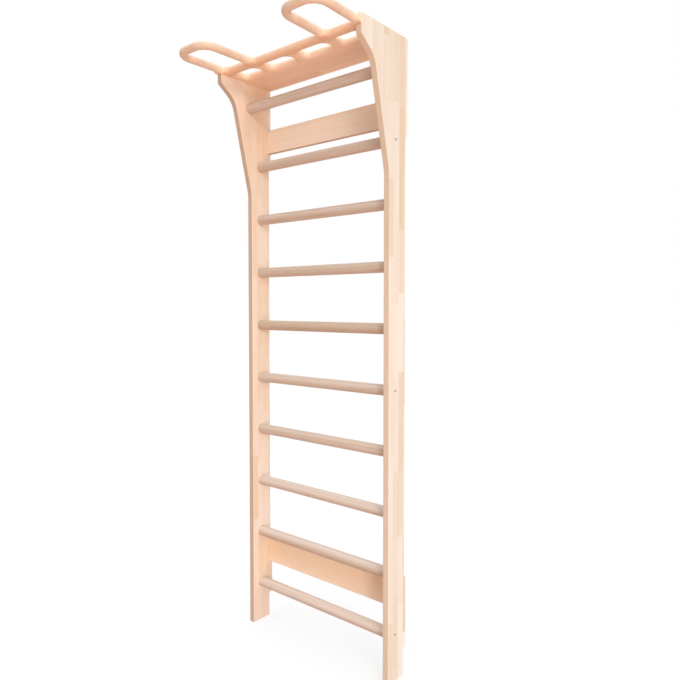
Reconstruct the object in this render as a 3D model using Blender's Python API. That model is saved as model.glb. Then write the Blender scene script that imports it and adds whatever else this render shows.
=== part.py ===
"""Wall bars: two flared uprights, ten rungs, two mounting boards and a pull-up board with loop handles.

Metres, +Z up. Seen from the front, +X is to the right; the front faces -Y and the wall is on the +Y side.
Depths below count from the uprights' straight front edge. Everything hangs on one empty, which moves the
origin to the floor under the middle of the whole object.
"""

import math

import bmesh
import bpy
from mathutils import Matrix, Vector

# Overall sizes
HEIGHT = 2.250
INNER_WIDTH = 0.658
UPRIGHT_THICKNESS = 0.025

# Side view of an upright, depths from its straight front edge
WALL_PLANE = 0.107
RELIEF_PLANE = 0.097
FOOT_RELIEF_PLANE = 0.090
NOSE_PLANE = -0.154
FOOT_RELIEF_HEIGHT = 0.096
PAD_STEP = 0.010
UPPER_PAD_LENGTH = 0.335
LOWER_PAD_OVERLAP = 0.020
PAD_CORNER = 0.004
TOP_CORNER = 0.006

# Front edge of an upright, distances down from its top
NOSE_DROP = 0.066
THROAT_DROP = 0.118
THROAT_DEPTH = -0.0836
FLARE_DROP = 0.472
NOSE_CORNER = 0.009
THROAT_RADIUS = 0.090
FLARE_RADIUS = 0.150

# Rungs
RUNG_COUNT = 10
RUNG_DIAMETER = 0.040
RUNG_DEPTH = 0.0487
LOWEST_RUNG_HEIGHT = 0.160
SECOND_RUNG_DROP = 0.358
FIRST_RUNG_DROP = 0.132
FIRST_RUNG_DEPTH = -0.008
SOCKET_WEB = 0.010
RUNG_CHAMFER = 0.0015

# Mounting boards
MOUNT_BOARD_HEIGHT = 0.096
MOUNT_BOARD_THICKNESS = 0.019
UPPER_BOARD_DROP = 0.199
LOWER_BOARD_GAP = 0.026

# Pull-up board, seen from above
BOARD_THICKNESS = 0.028
BOARD_DROP = 0.0045
BOARD_REBATE = 0.008
BOARD_FRONT = -0.140
GRIP_ROUND = 0.013
BAR_WIDTH = 0.028
LOOP_OVERHANG = 0.016
LOOP_WIDTH = 0.180
LOOP_REACH = 0.366
LOOP_SPLAY = 0.006
LOOP_CORNER = 0.066
LOOP_FILLET = 0.018
EYE_BACK_CORNER = 0.022
EYE_SETBACK = 0.001
SHOULDER = 0.016
SHOULDER_INSET = 0.002
RAIL_WIDTH = 0.032
SLOT_DEPTH = 0.062
SLOT_CORNER = 0.022
CENTRE_BRIDGE = 0.042
SLOT_BRIDGE = 0.038
INNER_SLOT_LENGTH = 0.134
SLOT_END_MARGIN = 0.024

# Fastenings
SCREW_HEAD_DIAMETER = 0.008
SCREW_SHANK_DIAMETER = 0.0042
SCREW_LENGTH = 0.045
SCREW_HEAD_HEIGHT = 0.003
SCREW_HEAD_SINK = 0.0015
SCREW_RIM = 0.008
DOWEL_DIAMETER = 0.008
DOWEL_IN_BOARD = 0.024
DOWEL_WEB = 0.005
DOWEL_CHAMFER = 0.001
MOUNT_DOWEL_INSET = 0.022
MIDDLE_DOWEL_DEPTH = -0.010
BACK_DOWEL_DEPTH = 0.062

# Finish of edges and fits
EDGE_ROUND = 0.003
BOARD_EDGE_ROUND = 0.002
GAP = 0.0003
HOLE_CLEARANCE = 0.0004

# Smoothness
MERGE = 1e-6
RUNG_SIDES = 32
SMALL_SIDES = 12
ARC_SAG = 0.0003
GRIP_ROUND_STEPS = 3
EDGE_ROUND_STEPS = 1
SHARP_ANGLE = math.radians(35)
FLAT_ANGLE = math.radians(0.1)

# Widths across the object, from its middle
HALF_INNER = INNER_WIDTH / 2
HALF_OUTER = HALF_INNER + UPRIGHT_THICKNESS
SOCKET_END = HALF_OUTER - SOCKET_WEB
BOARD_END = HALF_INNER + BOARD_REBATE
LOOP_OUTER = HALF_INNER + LOOP_OVERHANG
LOOP_INNER = LOOP_OUTER - LOOP_WIDTH
SHOULDER_END = HALF_OUTER - SHOULDER_INSET
BLANK_END = LOOP_OUTER + LOOP_FILLET + 2 * GRIP_ROUND
DOWEL_HOLE_END = HALF_OUTER - DOWEL_WEB
SCREW_SEAT = HALF_OUTER - SCREW_HEAD_SINK - SCREW_HEAD_HEIGHT
SCREW_TIP = SCREW_SEAT - SCREW_LENGTH

# Heights, depths and radii that follow from the sizes above
RUNG_RADIUS = RUNG_DIAMETER / 2
RUNG_PITCH = (HEIGHT - SECOND_RUNG_DROP - LOWEST_RUNG_HEIGHT) / (RUNG_COUNT - 2)
BOARD_TOP = HEIGHT - BOARD_DROP
BOARD_UNDERSIDE = BOARD_TOP - BOARD_THICKNESS
BOARD_MIDDLE = BOARD_TOP - BOARD_THICKNESS / 2
SLOT_FRONT = BOARD_FRONT + RAIL_WIDTH
SLOT_BACK = SLOT_FRONT + SLOT_DEPTH
GRIP_EDGE = min(GRIP_ROUND, BOARD_THICKNESS / 2 - GAP, BAR_WIDTH / 2 - GAP)
DOWEL_HOLE_RADIUS = DOWEL_DIAMETER / 2 + HOLE_CLEARANCE
DEPTH_CENTRE = (WALL_PLANE - LOOP_REACH) / 2


def rung_axis(number):
    """Depth and height of a rung's axis; rung 1 is the one set forward under the pull-up board."""
    if number == 1:
        return FIRST_RUNG_DEPTH, HEIGHT - FIRST_RUNG_DROP
    return RUNG_DEPTH, LOWEST_RUNG_HEIGHT + (RUNG_COUNT - number) * RUNG_PITCH


UPPER_BOARD_MIDDLE = HEIGHT - UPPER_BOARD_DROP - MOUNT_BOARD_HEIGHT / 2
LOWER_BOARD_MIDDLE = rung_axis(9)[1] - RUNG_RADIUS - LOWER_BOARD_GAP - MOUNT_BOARD_HEIGHT / 2
LOWER_PAD_TOP = LOWER_BOARD_MIDDLE + MOUNT_BOARD_HEIGHT / 2 + LOWER_PAD_OVERLAP

# Each screwed rung, with the angle above level, towards the front, at which its screw sits
SCREWED_RUNGS = {2: -10.0, 6: 12.0, 10: 46.0}
SIDES = {"left": -1, "right": 1}


def clear_scene():
    for old in list(bpy.data.objects):
        bpy.data.objects.remove(old, do_unlink=True)


def linear(hex_colour):
    """A linear RGBA colour from an sRGB hex value."""
    channels = [int(hex_colour[i : i + 2], 16) / 255 for i in (1, 3, 5)]
    return [c / 12.92 if c < 0.04045 else ((c + 0.055) / 1.055) ** 2.4 for c in channels] + [1.0]


def material(name, hex_colour, roughness, metallic=0.0):
    made = bpy.data.materials.new(name)
    made.use_nodes = True
    shader = made.node_tree.nodes["Principled BSDF"]
    shader.inputs["Base Color"].default_value = linear(hex_colour)
    shader.inputs["Roughness"].default_value = roughness
    shader.inputs["Metallic"].default_value = metallic
    made.diffuse_color = linear(hex_colour)
    return made


def finished_mesh(name, bm, finish=None):
    """A mesh from a bmesh, with its faces pointing out and its round faces shaded smooth."""
    bmesh.ops.remove_doubles(bm, verts=bm.verts, dist=MERGE)
    bmesh.ops.recalc_face_normals(bm, faces=bm.faces)
    mesh = bpy.data.meshes.new(name)
    bm.to_mesh(mesh)
    bm.free()
    mesh.shade_smooth()
    mesh.set_sharp_from_angle(angle=SHARP_ANGLE)
    if finish:
        mesh.materials.append(finish)
    return mesh


def place(name, mesh, parent, depth=0.0, height=0.0, side=1):
    """A named object on the middle line; a side of -1 turns it about the vertical to face the other way."""
    made = bpy.data.objects.new(name, mesh)
    bpy.context.scene.collection.objects.link(made)
    made.parent = parent
    made.location = (0, depth, height)
    made.rotation_euler.z = 0 if side > 0 else math.pi
    return made


def cut(body, name, bm):
    """Takes a bmesh's shape, drawn in the body's own place, out of the body."""
    cutter = place(name, finished_mesh(name, bm), body.parent, body.location.y, body.location.z)
    cutter.hide_render = True
    cutter.display_type = "WIRE"
    modifier = body.modifiers.new(name, "BOOLEAN")
    modifier.operation = "DIFFERENCE"
    modifier.solver = "EXACT"
    modifier.object = cutter


def rounded(corners):
    """A closed outline from (across, up, radius) corners, with each round corner as an arc."""
    outline = []
    for index, (across, up, radius) in enumerate(corners):
        corner = Vector((across, up))
        before = (Vector(corners[index - 1][:2]) - corner).normalized()
        after = (Vector(corners[(index + 1) % len(corners)][:2]) - corner).normalized()
        if radius <= 0:
            outline.append(corner)
            continue
        turn = math.pi - before.angle(after)
        start = corner + before * radius * math.tan(turn / 2)
        centre = corner + (before + after).normalized() * radius / math.cos(turn / 2)
        steps = max(2, round(turn / (2 * math.acos(1 - ARC_SAG / radius))))
        sweep = turn if before.cross(after) < 0 else -turn
        arm = start - centre
        outline += [centre + Matrix.Rotation(sweep * i / steps, 2) @ arm for i in range(steps + 1)]
    return outline


def plate(outlines, thickness, edge_round, round_steps):
    """A flat board: the first outline is its edge, the rest are openings, and all are rounded over."""
    curve = bpy.data.curves.new("plate", "CURVE")
    curve.dimensions = "2D"
    curve.fill_mode = "BOTH"
    curve.extrude = thickness / 2 - edge_round
    curve.bevel_depth = edge_round
    curve.bevel_resolution = round_steps
    curve.offset = -edge_round
    for outline in outlines:
        spline = curve.splines.new("POLY")
        spline.points.add(len(outline) - 1)
        for point, corner in zip(spline.points, outline):
            point.co = (*corner, 0, 1)
        spline.use_cyclic_u = True
    drawn = bpy.data.objects.new("plate", curve)
    bm = bmesh.new()
    bm.from_mesh(drawn.to_mesh())
    bpy.data.objects.remove(drawn)
    bmesh.ops.remove_doubles(bm, verts=bm.verts, dist=MERGE)
    bmesh.ops.dissolve_limit(bm, angle_limit=FLAT_ANGLE, verts=bm.verts, edges=bm.edges)
    return bm


def add_box(bm, low, high):
    """A box between two opposite corners."""
    low, high = Vector(low), Vector(high)
    size = Matrix.Diagonal((*(high - low), 1))
    bmesh.ops.create_cube(bm, size=1, matrix=Matrix.Translation((low + high) / 2) @ size)


def add_rod(bm, start, end, radius, sides, centre=(0, 0), chamfer=0.0):
    """A rod across the object between two distances from its middle, at a (depth, height) centre."""
    middle = Vector(((start + end) / 2, *centre))
    turned = Matrix.Translation(middle) @ Matrix.Rotation(math.pi / 2, 4, "Y")
    depth = abs(end - start)
    made = bmesh.ops.create_cone(
        bm, cap_ends=True, segments=sides, radius1=radius, radius2=radius, depth=depth, matrix=turned
    )
    if chamfer > 0:
        edges = {edge for vert in made["verts"] for edge in vert.link_edges}
        rims = [edge for edge in edges if abs(edge.verts[0].co.x - edge.verts[1].co.x) < MERGE]
        bmesh.ops.bevel(bm, geom=rims, offset=chamfer, segments=1, affect="EDGES")


def add_turned(bm, outline, centre=(0, 0)):
    """A solid turned about a line across the object, from (distance from the middle, radius) points."""
    depth, height = centre
    verts = [bm.verts.new((across, depth, height + radius)) for across, radius in outline]
    edges = [bm.edges.new(pair) for pair in zip(verts, verts[1:])]
    bmesh.ops.spin(
        bm,
        geom=verts + edges,
        cent=(0, depth, height),
        axis=(1, 0, 0),
        angle=math.tau,
        steps=SMALL_SIDES,
        use_merge=True,
    )


def upright_profile():
    """Side view of an upright: (depth, height, corner radius), round from the front of the foot."""
    return [
        (0.0, 0.0, 0.0),
        (FOOT_RELIEF_PLANE, 0.0, 0.0),
        (FOOT_RELIEF_PLANE, FOOT_RELIEF_HEIGHT, PAD_CORNER),
        (WALL_PLANE, FOOT_RELIEF_HEIGHT + PAD_STEP / 2, PAD_CORNER),
        (WALL_PLANE, LOWER_PAD_TOP, PAD_CORNER),
        (RELIEF_PLANE, LOWER_PAD_TOP + PAD_STEP, PAD_CORNER),
        (RELIEF_PLANE, HEIGHT - UPPER_PAD_LENGTH - PAD_STEP, PAD_CORNER),
        (WALL_PLANE, HEIGHT - UPPER_PAD_LENGTH, PAD_CORNER),
        (WALL_PLANE, HEIGHT, TOP_CORNER),
        (NOSE_PLANE, HEIGHT, NOSE_CORNER),
        (NOSE_PLANE, HEIGHT - NOSE_DROP, NOSE_CORNER),
        (THROAT_DEPTH, HEIGHT - THROAT_DROP, THROAT_RADIUS),
        (0.0, HEIGHT - FLARE_DROP, FLARE_RADIUS),
    ]


def screw_centres():
    """Depth and height of each rung screw, a fixed distance in from its rung's rim."""
    centres = {}
    for number, degrees in SCREWED_RUNGS.items():
        depth, height = rung_axis(number)
        arm = RUNG_RADIUS - SCREW_RIM
        angle = math.radians(degrees)
        centres[number] = (depth - arm * math.cos(angle), height + arm * math.sin(angle))
    return centres


def mounting_dowel_centres(board_middle):
    """Depth and height of the dowels at one end of a mounting board."""
    depth = WALL_PLANE - MOUNT_BOARD_THICKNESS / 2
    rise = MOUNT_BOARD_HEIGHT / 2 - MOUNT_DOWEL_INSET
    return {"low": (depth, board_middle - rise), "high": (depth, board_middle + rise)}


def pull_up_dowel_centres():
    """Depth and height of the dowels at one end of the pull-up board, the first of them in its front rail."""
    depths = {"front": (BOARD_FRONT + SLOT_FRONT) / 2, "middle": MIDDLE_DOWEL_DEPTH, "back": BACK_DOWEL_DEPTH}
    return {name: (depth, BOARD_MIDDLE) for name, depth in depths.items()}


def socket_cutter(side):
    """The sockets of the rungs and the dowel holes of the mounting boards, in an upright's inner face."""
    bm = bmesh.new()
    start = side * (HALF_INNER - UPRIGHT_THICKNESS)
    for number in range(1, RUNG_COUNT + 1):
        add_rod(bm, start, side * SOCKET_END, RUNG_RADIUS + GAP, RUNG_SIDES, rung_axis(number))
    for board_middle in (UPPER_BOARD_MIDDLE, LOWER_BOARD_MIDDLE):
        for centre in mounting_dowel_centres(board_middle).values():
            add_rod(bm, start, side * DOWEL_HOLE_END, DOWEL_HOLE_RADIUS, SMALL_SIDES, centre)
    return bm


def rebate_cutter(side):
    """The corner that an end of the pull-up board sits in, open at the top, the front and the back."""
    bm = bmesh.new()
    near, far = side * (HALF_INNER - UPRIGHT_THICKNESS), side * (BOARD_END + GAP)
    low = (min(near, far), NOSE_PLANE - RAIL_WIDTH, BOARD_UNDERSIDE - GAP)
    high = (max(near, far), WALL_PLANE + RAIL_WIDTH, HEIGHT + RAIL_WIDTH)
    add_box(bm, low, high)
    return bm


def fastening_cutter(side):
    """The counterbores and clearance holes of the rung screws, and the dowel holes of the pull-up board."""
    bm = bmesh.new()
    head = SCREW_HEAD_DIAMETER / 2 + HOLE_CLEARANCE
    shank = SCREW_SHANK_DIAMETER / 2 + HOLE_CLEARANCE
    seat = SCREW_SEAT - GAP
    outside = HALF_OUTER + UPRIGHT_THICKNESS
    clearance_hole = [(HALF_INNER, 0), (HALF_INNER, shank), (seat, shank)]
    stepped = clearance_hole + [(seat, head), (outside, head), (outside, 0)]
    for centre in screw_centres().values():
        add_turned(bm, [(side * across, radius) for across, radius in stepped], centre)
    for centre in pull_up_dowel_centres().values():
        add_rod(bm, side * HALF_INNER, side * DOWEL_HOLE_END, DOWEL_HOLE_RADIUS, SMALL_SIDES, centre)
    return bm


def make_upright(name, side, finish, root):
    bm = plate([rounded(upright_profile())], UPRIGHT_THICKNESS, EDGE_ROUND, EDGE_ROUND_STEPS)
    across = side * (HALF_INNER + HALF_OUTER) / 2
    standing = Matrix(((0, 0, 1, across), (1, 0, 0, 0), (0, 1, 0, 0), (0, 0, 0, 1)))
    bmesh.ops.transform(bm, matrix=standing, verts=bm.verts)
    upright = place(name, finished_mesh(name, bm, finish), root)
    cut(upright, f"{name}_sockets", socket_cutter(side))
    cut(upright, f"{name}_rebate", rebate_cutter(side))
    cut(upright, f"{name}_fastenings", fastening_cutter(side))


def make_rungs(finish, root):
    """The rungs, with their ends in the sockets, and a pilot hole in each end that a screw holds."""
    bm = bmesh.new()
    end = SOCKET_END - GAP
    add_rod(bm, -end, end, RUNG_RADIUS, RUNG_SIDES, chamfer=RUNG_CHAMFER)
    mesh = finished_mesh("rung", bm, finish)
    screws = screw_centres()
    for number in range(1, RUNG_COUNT + 1):
        depth, height = rung_axis(number)
        rung = place(f"rung_{number:02d}", mesh, root, depth, height)
        if number in screws:
            centre = (screws[number][0] - depth, screws[number][1] - height)
            pilots = bmesh.new()
            for side in SIDES.values():
                radius = SCREW_SHANK_DIAMETER / 2 + HOLE_CLEARANCE
                add_rod(pilots, side * (SCREW_TIP - GAP), side * HALF_OUTER, radius, SMALL_SIDES, centre)
            cut(rung, f"{rung.name}_pilots", pilots)


def make_mounting_board(name, middle, finish, root):
    """A cross board between the uprights, its back in the wall plane, with dowel holes in both ends."""
    bm = bmesh.new()
    end = HALF_INNER - GAP
    half_height = MOUNT_BOARD_HEIGHT / 2
    add_box(bm, (-end, WALL_PLANE - MOUNT_BOARD_THICKNESS, -half_height), (end, WALL_PLANE, half_height))
    long_edges = [e for e in bm.edges if e.calc_length() > end]
    bmesh.ops.bevel(bm, geom=long_edges, offset=BOARD_EDGE_ROUND, segments=2, profile=0.5, affect="EDGES")
    board = place(name, finished_mesh(name, bm, finish), root, height=middle)
    holes = bmesh.new()
    for side in SIDES.values():
        for centre in mounting_dowel_centres(0).values():
            start = side * (HALF_INNER - DOWEL_IN_BOARD - GAP)
            add_rod(holes, start, side * HALF_OUTER, DOWEL_HOLE_RADIUS, SMALL_SIDES, centre)
    cut(board, f"{name}_dowel_holes", holes)


def pull_up_outline():
    """The pull-up board's edge from above. Its ends and back run past the size that they are sawn to."""
    shoulder = NOSE_PLANE - SHOULDER
    half = [
        (BLANK_END, WALL_PLANE + 2 * GRIP_ROUND, 0.0),
        (BLANK_END, shoulder, 0.0),
        (LOOP_OUTER, shoulder, LOOP_FILLET),
        (LOOP_OUTER + LOOP_SPLAY, -LOOP_REACH, LOOP_CORNER),
        (LOOP_INNER + LOOP_SPLAY, -LOOP_REACH, LOOP_CORNER),
        (LOOP_INNER, BOARD_FRONT, LOOP_FILLET),
    ]
    return rounded(half + [(-across, up, radius) for across, up, radius in reversed(half)])


def opening(left, right, front, back, front_corner, back_corner, splay=0.0):
    """An opening through the board from above, with round corners; splay moves its front end across."""
    corners = [(left + splay, front, front_corner), (left, back, back_corner)]
    return rounded(corners + [(right, back, back_corner), (right + splay, front, front_corner)])


def pull_up_openings():
    """The eyes of the loop handles and the finger slots, on both sides of the middle."""
    inner_start, inner_end = CENTRE_BRIDGE / 2, CENTRE_BRIDGE / 2 + INNER_SLOT_LENGTH
    outer_start, outer_end = inner_end + SLOT_BRIDGE, HALF_INNER - SLOT_END_MARGIN
    eye = (LOOP_INNER + BAR_WIDTH, LOOP_OUTER - BAR_WIDTH, BAR_WIDTH - LOOP_REACH, BOARD_FRONT - EYE_SETBACK)
    right = [
        opening(*eye, LOOP_CORNER - BAR_WIDTH, EYE_BACK_CORNER, LOOP_SPLAY),
        opening(inner_start, inner_end, SLOT_FRONT, SLOT_BACK, SLOT_CORNER, SLOT_CORNER),
        opening(outer_start, outer_end, SLOT_FRONT, SLOT_BACK, SLOT_CORNER, SLOT_CORNER),
    ]
    return right + [[Vector((-corner.x, corner.y)) for corner in outline] for outline in right]


def make_pull_up_board(name, finish, root):
    """The board with rail, slots and loops, sawn to drop into the rebates and to cover the noses' fronts."""
    outlines = [pull_up_outline()] + pull_up_openings()
    blank = plate(outlines, BOARD_THICKNESS, GRIP_EDGE, GRIP_ROUND_STEPS)
    board = place(name, finished_mesh(name, blank, finish), root, height=BOARD_MIDDLE)
    past = 3 * GRIP_ROUND
    front, back = NOSE_PLANE - GAP, WALL_PLANE + past
    reach = max(HALF_OUTER, BLANK_END) + past
    shoulders = bmesh.new()
    for side in SIDES.values():
        near, far = sorted((side * SHOULDER_END, side * reach))
        low = (near, NOSE_PLANE - SHOULDER - LOOP_FILLET, -BOARD_THICKNESS)
        add_box(shoulders, low, (far, back, BOARD_THICKNESS))
    cut(board, f"{name}_shoulders", shoulders)
    ends = bmesh.new()
    for side in SIDES.values():
        near, far = sorted((side * BOARD_END, side * (reach + past)))
        low = (near, front, -2 * BOARD_THICKNESS)
        add_box(ends, low, (far, back + past, 2 * BOARD_THICKNESS))
    cut(board, f"{name}_ends", ends)
    rear = bmesh.new()
    add_box(rear, (-reach, WALL_PLANE, -2 * BOARD_THICKNESS), (reach, back, 2 * BOARD_THICKNESS))
    cut(board, f"{name}_rear", rear)
    holes = bmesh.new()
    for side in SIDES.values():
        for depth, _ in pull_up_dowel_centres().values():
            start = side * (BOARD_END - DOWEL_IN_BOARD - GAP)
            add_rod(holes, start, side * HALF_OUTER, DOWEL_HOLE_RADIUS, SMALL_SIDES, (depth, 0))
    cut(board, f"{name}_dowel_holes", holes)


def make_dowels(name, board_end, centres, finish, root):
    """The dowels that join both ends of a board to the uprights, each a piece of its own."""
    bm = bmesh.new()
    add_rod(
        bm,
        board_end - DOWEL_IN_BOARD,
        DOWEL_HOLE_END - GAP,
        DOWEL_DIAMETER / 2,
        SMALL_SIDES,
        chamfer=DOWEL_CHAMFER,
    )
    mesh = finished_mesh(name, bm, finish)
    for side_name, side in SIDES.items():
        for centre_name, (depth, height) in centres.items():
            place(f"{name}_{side_name}_{centre_name}", mesh, root, depth, height, side)


def make_screws(finish, root):
    """The wood screws through the uprights into the rungs: flat seat, domed head, shank and point."""
    face = HALF_OUTER - SCREW_HEAD_SINK
    head, shank = SCREW_HEAD_DIAMETER / 2, SCREW_SHANK_DIAMETER / 2
    outline = [
        (SCREW_TIP, 0),
        (SCREW_TIP + 2 * SCREW_SHANK_DIAMETER, shank),
        (SCREW_SEAT, shank),
        (SCREW_SEAT, head),
        (face - SCREW_HEAD_HEIGHT / 3, head),
        (face, head / 2),
        (face, 0),
    ]
    bm = bmesh.new()
    add_turned(bm, outline)
    mesh = finished_mesh("rung_screw", bm, finish)
    for side_name, side in SIDES.items():
        for number, (depth, height) in screw_centres().items():
            place(f"{side_name}_screw_rung_{number:02d}", mesh, root, depth, height, side)


def main():
    clear_scene()
    root = bpy.data.objects.new("wall_bars", None)
    bpy.context.scene.collection.objects.link(root)
    root.location.y = -DEPTH_CENTRE
    panel = material("birch_panel", "#F3DCC0", 0.55)
    turned = material("birch_rung", "#E9CFB2", 0.50)
    plank = material("birch_board", "#F0D2B0", 0.50)
    dowel = material("beech_dowel", "#D9B48A", 0.60)
    steel = material("zinc_plated_steel", "#A9A9A4", 0.35, 1.0)

    for side_name, side in SIDES.items():
        make_upright(f"{side_name}_upright", side, panel, root)
    make_rungs(turned, root)
    for board, middle in (("upper", UPPER_BOARD_MIDDLE), ("lower", LOWER_BOARD_MIDDLE)):
        make_mounting_board(f"{board}_mounting_board", middle, plank, root)
        make_dowels(f"{board}_board_dowel", HALF_INNER, mounting_dowel_centres(middle), dowel, root)
    make_pull_up_board("pull_up_board", plank, root)
    make_dowels("pull_up_board_dowel", BOARD_END, pull_up_dowel_centres(), dowel, root)
    make_screws(steel, root)


main()
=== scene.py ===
"""Wall bars: birch panel uprights, turned rungs, mounting boards and a pull-up board with loop handles.

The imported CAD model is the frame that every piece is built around. Metres, +Z up. Seen from the front, +X is
to the right; the front faces -Y, and the wall is on the +Y side.
"""

import math

import bmesh
import bpy
from bpy.props import FloatProperty, FloatVectorProperty, PointerProperty
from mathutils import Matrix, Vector


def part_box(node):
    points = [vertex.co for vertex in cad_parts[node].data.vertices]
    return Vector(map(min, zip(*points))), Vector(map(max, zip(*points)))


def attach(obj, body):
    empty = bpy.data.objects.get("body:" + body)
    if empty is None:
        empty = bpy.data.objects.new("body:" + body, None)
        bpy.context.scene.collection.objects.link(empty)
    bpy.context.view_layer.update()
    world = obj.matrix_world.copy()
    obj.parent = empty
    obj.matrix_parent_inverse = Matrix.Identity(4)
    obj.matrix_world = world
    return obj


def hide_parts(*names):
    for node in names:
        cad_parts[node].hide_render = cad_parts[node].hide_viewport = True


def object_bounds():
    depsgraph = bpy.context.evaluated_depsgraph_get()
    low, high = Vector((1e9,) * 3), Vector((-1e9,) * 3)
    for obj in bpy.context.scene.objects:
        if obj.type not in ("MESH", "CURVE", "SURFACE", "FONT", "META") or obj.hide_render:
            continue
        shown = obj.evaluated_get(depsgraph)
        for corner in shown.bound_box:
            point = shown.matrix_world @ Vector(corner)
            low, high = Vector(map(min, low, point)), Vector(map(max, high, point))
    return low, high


bl_info = {
    "name": "Wall Bars",
    "version": (1, 0, 0),
    "blender": (4, 5, 0),
    "location": "3D View > Sidebar > Wall Bars",
    "description": "Adds gymnastic wall bars with a pull-up board, finished in lacquered birch",
    "category": "Add Mesh",
}

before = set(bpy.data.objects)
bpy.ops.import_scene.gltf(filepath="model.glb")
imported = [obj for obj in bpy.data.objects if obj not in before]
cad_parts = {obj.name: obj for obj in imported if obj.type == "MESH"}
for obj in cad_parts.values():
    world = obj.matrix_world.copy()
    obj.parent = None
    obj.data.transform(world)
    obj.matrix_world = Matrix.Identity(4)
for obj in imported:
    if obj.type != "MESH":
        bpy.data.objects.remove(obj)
CAD_LOW, CAD_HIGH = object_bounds()

# Places of the frame's own nodes
UPRIGHT_LOW, UPRIGHT_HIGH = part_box("right_upright")
BOARD_LOW, BOARD_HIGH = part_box("pull_up_board")
RUNG_LOW, RUNG_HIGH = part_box("rung_02")
WALL = UPRIGHT_HIGH.y
HEIGHT = UPRIGHT_HIGH.z
INNER = UPRIGHT_LOW.x
OUTER = UPRIGHT_HIGH.x
RUNG_RADIUS = (RUNG_HIGH.z - RUNG_LOW.z) / 2
RUNG_COUNT = 10
SCREWED_RUNGS = (2, 6, 10)
SIDES = {"left": -1, "right": 1}

# Fits that the frame's pieces have between them
GAP = 0.0003
HOLE_CLEARANCE = 0.0004

# How far a cutter reaches past the wood that it cuts
OVERSHOOT = 0.010

# Faces round a piece and steps over an edge, how far an arc may stray from its circle, and the sharpest edge
# that is shaded smooth
SOCKET_SIDES = 64
SMALL_SIDES = 24
DOWEL_SIDES = 32
EDGE_STEPS = 4
GRIP_STEPS = 7
CHAMFER_STEPS = 3
ARC_SAG = 0.00008
SHARP_ANGLE = math.radians(35)
MERGE = 1e-6

# Seeds of the wood's blocks and of the rungs' tints; the uprights' and the rungs' were picked out of many
LEFT_DRAW = 12769.0
RIGHT_DRAW = 5195.0
RUNG_DRAW = 9336.0
BOARD_DRAW = 3.0
GRIP_DRAW = 11.0

# How the wood is glued up: place of the first joint, width of a stave and usual length of a block
PANEL_STAVES = (0.218, 0.031, 0.26)
GRIP_STAVES = (0.021, 0.043, 1.4)
BOARD_BLOCK = 1.9

# The studio: where its lamps stand, and how the floor keeps a shadow and still shows white
KEY_FROM = (0.74, -0.50, 0.28)
TOP_FROM = (0.10, -0.15, 1.0)
SIDE_FROM = (4.05, -1.94, 0.83)
AIMED_AT = (0.0, 0.0, 1.15)
FLOOR_SIZE = 60
FLOOR_SEEN = (0.260, 0.250, 0.242)
FLOOR_GLOW = 0.71
WHITE = (1, 1, 1)

# The camera: its place, degrees down from level and round from the front, its sensor in millimetres, and the
# width, focal length and level line of its picture in pixels
CAMERA_PLACE = (1.5546, -1.5832, 1.3249)
CAMERA_DOWN, CAMERA_ROUND = 2.08, 39.62
SENSOR_WIDTH = 36.0
PICTURE_WIDTH, FOCAL_LENGTH, LEVEL_ROW = 680, 614, 327.57


def linear(hex_colour):
    """A linear RGB colour from an sRGB hex value."""
    channels = [int(hex_colour[i : i + 2], 16) / 255 for i in (1, 3, 5)]
    return tuple(c / 12.92 if c < 0.04045 else ((c + 0.055) / 1.055) ** 2.4 for c in channels)


def setting(kind, name, description, default, **limits):
    """A property that a user can change."""
    return kind(name=name, description=description, default=default, **limits)


def length(name, description, default):
    """A size that a user can change."""
    return setting(FloatProperty, name, description, default, min=0.0, unit="LENGTH", precision=4)


def colour(name, description, hex_colour):
    """A colour that a user can change."""
    limits = {"size": 3, "min": 0.0, "max": 1.0, "subtype": "COLOR"}
    return setting(FloatVectorProperty, name, description, linear(hex_colour), **limits)


def angle(name, description, degrees):
    """An angle that a user can change."""
    return setting(FloatProperty, name, description, math.radians(degrees), subtype="ANGLE")


def light_level(name, description, default, unit="NONE"):
    """A lamp's strength or power that a user can change."""
    return setting(FloatProperty, name, description, default, min=0.0, unit=unit)


class UprightSizes(bpy.types.PropertyGroup):
    """Side view of an upright: depths from the wall, heights from the floor and drops from the top."""

    body_depth: length("Body depth", "From the wall to the straight front edge", 0.107)
    nose_depth: length("Nose depth", "From the wall to the front of the nose", 0.261)
    throat_depth: length("Throat depth", "From the wall to the hollow under the nose", 0.1906)
    nose_drop: length("Nose drop", "Height of the nose's blunt front", 0.066)
    throat_drop: length("Throat drop", "From the top to the hollow under the nose", 0.118)
    flare_drop: length("Flare drop", "From the top to where the flare begins", 0.472)
    relief: length("Relief", "How far the back is set off the wall between the pads", 0.010)
    foot_relief: length("Foot relief", "How far the foot is set off the wall, for a skirting board", 0.017)
    foot_relief_height: length("Foot relief height", "Height of the relief at the foot", 0.096)
    pad_step: length("Pad step", "Height of the slope at the end of a pad", 0.010)
    upper_pad: length("Upper pad", "Length of the upper wall pad", 0.335)
    lower_pad_top: length("Lower pad top", "Height of the top of the lower wall pad", 0.3505)
    pad_corner: length("Pad corner", "Radius of the pads' corners", 0.004)
    top_corner: length("Top corner", "Radius of the back corner at the top", 0.006)
    nose_corner: length("Nose corner", "Radius of the nose's corners", 0.009)
    throat_radius: length("Throat radius", "Radius of the hollow under the nose", 0.090)
    flare_radius: length("Flare radius", "Radius where the flare begins", 0.150)
    edge_round: length("Edge round", "Radius of the rounded edges", 0.003)
    board_rebate: length("Rebate", "Depth of the rebate that the pull-up board sits in", 0.008)


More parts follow.
